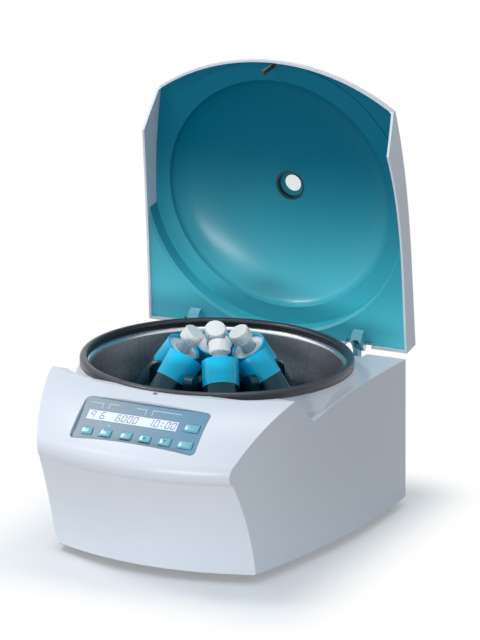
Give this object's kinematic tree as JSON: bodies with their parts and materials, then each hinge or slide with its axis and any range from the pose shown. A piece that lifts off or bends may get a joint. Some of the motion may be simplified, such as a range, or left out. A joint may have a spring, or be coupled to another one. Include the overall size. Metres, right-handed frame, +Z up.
{
  "type": "benchtop centrifuge",
  "caption": "Benchtop centrifuge with an open hinged lid, steel bowl, angle rotor with leaning blue tube carriers and capped tubes, and a sloping control panel.",
  "frame": {"origin": "centre of the whole outline on the bench, under the feet", "axes": "+Z up, -Y towards the control panel, +X to the right seen from the front"},
  "size_m": [0.33, 0.445, 0.501],
  "materials": {
    "white_housing": "satin moulded shell",
    "lid_white": "satin moulded shell",
    "teal_liner": "satin moulded liner",
    "teal_ring": "satin",
    "black_plastic": "matt",
    "rubber_gasket": "satin rubber",
    "rubber_black": "matt rubber",
    "bowl_steel": "brushed",
    "steel": "machined",
    "screw_steel": "bright plated",
    "sheet_steel": "plated sheet",
    "motor_metal": "cast and turned",
    "copper_stack": "laminations with windings",
    "rotor_dark": "dark anodised",
    "carrier_blue": "glossy",
    "adapter_white": "matt",
    "tube_clear": "clear",
    "cap_white": "ribbed, matt",
    "window_clear": "clear",
    "panel_blue": "printed satin",
    "display": "clear",
    "display_glass": "pale display",
    "key_teal": "satin",
    "board_green": "coated board",
    "component_dark": "matt"
  },
  "bodies": {
    "base": {"base_plate": "sheet_steel", "base_screws": "screw_steel", "board_screws": "screw_steel", "board_standoffs": "steel", "bowl": "bowl_steel", "bowl_gasket": "rubber_gasket", "bowl_grommet": "rubber_black", "control_board": "board_green", "control_panel": "panel_blue", "display_module": "display_glass", "display_window": "display", "foot_screws": "screw_steel", "fuse_drawer": "black_plastic", "hinge_mounts": "sheet_steel", "hinge_pins": "steel", "housing_shell": "white_housing", "key_switches": "component_dark", "lock_case": "black_plastic", "lock_solenoid": "steel", "mains_inlet": "black_plastic", "motor_bearings": "steel", "motor_dampers": "rubber_black", "motor_housing": "motor_metal", "motor_plate": "sheet_steel", "motor_stator": "copper_stack", "power_board": "board_green", "power_components": "component_dark", "rubber_feet": "rubber_black", "switch_frame": "black_plastic"},
    "lid": {"lid_shell": "lid_white", "lid_liner": "teal_liner", "port_ring": "teal_ring", "port_throat": "teal_ring", "port_window": "window_clear", "lid_striker": "black_plastic", "hinge_arms": "teal_ring"},
    "rotor": {"rotor_body": "rotor_dark", "motor_shaft": "steel", "motor_armature": "copper_stack", "rotor_nut": "steel", "tube_adapters": "adapter_white", "sample_tubes": "tube_clear", "tube_caps": "cap_white", "carrier_1": "carrier_blue", "carrier_2": "carrier_blue", "carrier_3": "carrier_blue", "carrier_4": "carrier_blue", "carrier_5": "carrier_blue", "carrier_6": "carrier_blue"},
    "switch": {"mains_switch": "black_plastic"},
    "bolt": {"lock_bolt": "steel"},
    "key_1_body": {"key_1": "key_teal"},
    "key_2_body": {"key_2": "key_teal"},
    "key_3_body": {"key_3": "key_teal"},
    "key_4_body": {"key_4": "key_teal"},
    "key_5_body": {"key_5": "key_teal"},
    "key_6_body": {"key_6": "key_teal"},
    "key_7_body": {"key_7": "key_teal"}
  },
  "joints": [
    {"name": "lid_hinge", "type": "hinge", "parent": "base", "child": "lid", "pos_m": [0, 0.1747, 0.1775], "axis": [1, 0, 0], "range_deg": [0, 82]},
    {"name": "rotor_spin", "type": "hinge", "parent": "base", "child": "rotor", "pos_m": [0, 0.0112, 0.1], "axis": [0, 0, 1], "continuous": true},
    {"name": "lock_bolt_slide", "type": "slide", "parent": "base", "child": "bolt", "axis": [1, 0, 0], "range_m": [0, 0.01]},
    {"name": "mains_switch_tilt", "type": "hinge", "parent": "base", "child": "switch", "pos_m": [-0.06, 0.1672, 0.046], "axis": [1, 0, 0], "range_deg": [-14, 0]},
    {"name": "key_1_press", "type": "slide", "parent": "base", "child": "key_1_body", "axis": [0, 0.6361, -0.7716], "range_m": [0, 0.0008], "stiffness_N_per_m": 800, "springref_m": -0.0003},
    {"name": "key_2_press", "type": "slide", "parent": "base", "child": "key_2_body", "axis": [0, 0.6361, -0.7716], "range_m": [0, 0.0008], "stiffness_N_per_m": 800, "springref_m": -0.0003},
    {"name": "key_3_press", "type": "slide", "parent": "base", "child": "key_3_body", "axis": [0, 0.6361, -0.7716], "range_m": [0, 0.0008], "stiffness_N_per_m": 800, "springref_m": -0.0003},
    {"name": "key_4_press", "type": "slide", "parent": "base", "child": "key_4_body", "axis": [0, 0.6361, -0.7716], "range_m": [0, 0.0008], "stiffness_N_per_m": 800, "springref_m": -0.0003},
    {"name": "key_5_press", "type": "slide", "parent": "base", "child": "key_5_body", "axis": [0, 0.6361, -0.7716], "range_m": [0, 0.0008], "stiffness_N_per_m": 800, "springref_m": -0.0003},
    {"name": "key_6_press", "type": "slide", "parent": "base", "child": "key_6_body", "axis": [0, 0.6361, -0.7716], "range_m": [0, 0.0008], "stiffness_N_per_m": 800, "springref_m": -0.0003},
    {"name": "key_7_press", "type": "slide", "parent": "base", "child": "key_7_body", "axis": [0, 0.6361, -0.7716], "range_m": [0, 0.0008], "stiffness_N_per_m": 800, "springref_m": -0.0003}
  ]
}
